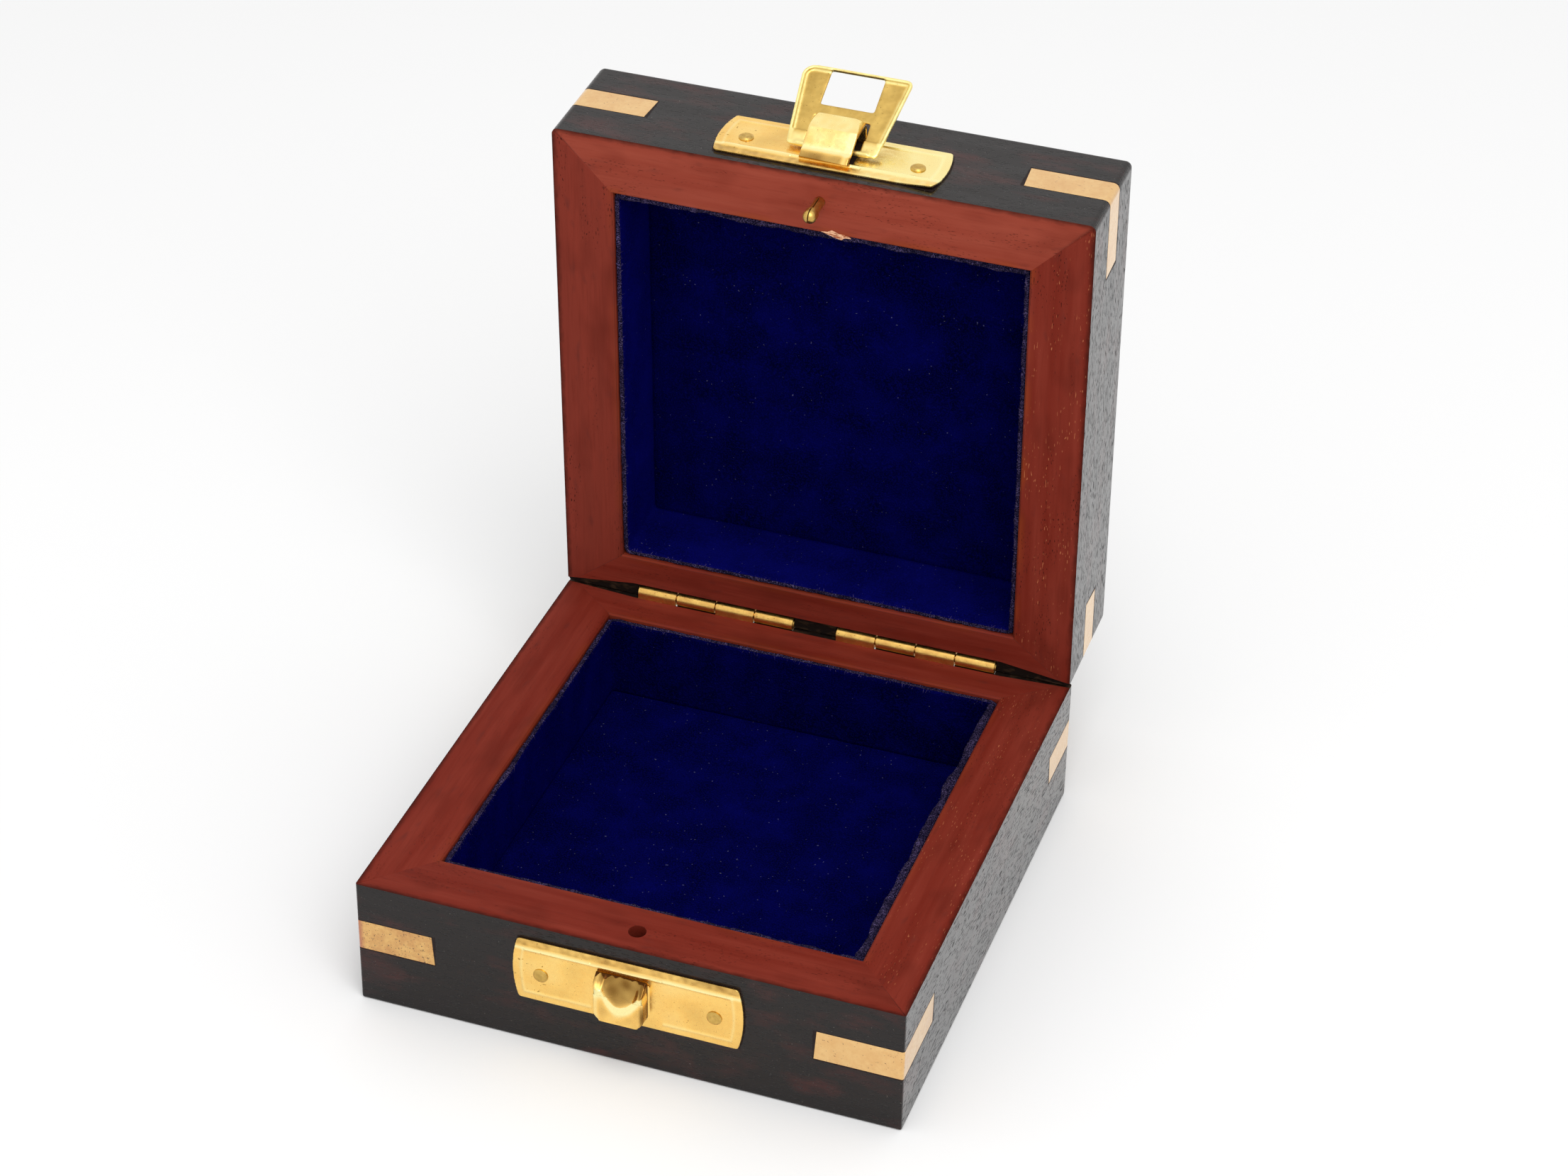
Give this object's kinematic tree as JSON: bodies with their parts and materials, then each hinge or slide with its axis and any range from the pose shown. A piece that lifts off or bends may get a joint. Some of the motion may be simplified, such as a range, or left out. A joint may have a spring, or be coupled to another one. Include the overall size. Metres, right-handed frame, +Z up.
{
  "type": "compass box",
  "caption": "Square hardwood box with velvet wells, brass corner inlays, a rolled-knuckle hinged lid and a stamped hasp that hooks over a catch.",
  "frame": {"origin": "centre of the underside of the base", "axes": "+Z up, +X to the right as seen from the hasp side, +Y to the hinges at the back; the lid stands open on its stop"},
  "size_m": [0.114, 0.1435, 0.1541],
  "materials": {
    "hardwood": "satin",
    "brass": "satin",
    "velvet": "matte"
  },
  "bodies": {
    "base": {"base_front_board": "hardwood", "base_right_board": "hardwood", "base_back_board": "hardwood", "base_left_board": "hardwood", "base_bottom_panel": "hardwood", "base_lining_floor": "velvet", "base_lining_walls": "velvet", "base_front_left_inlay": "brass", "base_front_right_inlay": "brass", "base_back_left_inlay": "brass", "base_back_right_inlay": "brass", "catch_plate": "brass", "catch_plate_pins": "brass", "left_hinge_base_leaf": "brass", "right_hinge_base_leaf": "brass", "left_hinge_pin": "brass", "right_hinge_pin": "brass", "base_leaf_nails": "brass"},
    "lid": {"lid_front_board": "hardwood", "lid_right_board": "hardwood", "lid_back_board": "hardwood", "lid_left_board": "hardwood", "lid_top_panel": "hardwood", "lid_lining_floor": "velvet", "lid_lining_walls": "velvet", "lid_front_left_inlay": "brass", "lid_front_right_inlay": "brass", "lid_back_left_inlay": "brass", "lid_back_right_inlay": "brass", "hasp_plate": "brass", "hasp_plate_pins": "brass", "locating_pin": "brass", "left_hinge_lid_leaf": "brass", "right_hinge_lid_leaf": "brass", "lid_leaf_nails": "brass"},
    "hasp": {"hasp_flap": "brass"}
  },
  "joints": [
    {"name": "lid_hinge", "type": "hinge", "parent": "base", "child": "lid", "pos_m": [0, 0.05586, 0.03015], "axis": [1, 0, 0], "range_deg": [0, 88]},
    {"name": "hasp_hinge", "type": "hinge", "parent": "lid", "child": "hasp", "pos_m": [-0.0001, 0.05901, 0.14494], "axis": [1, 0, 0], "range_deg": [0, 147.7]}
  ]
}
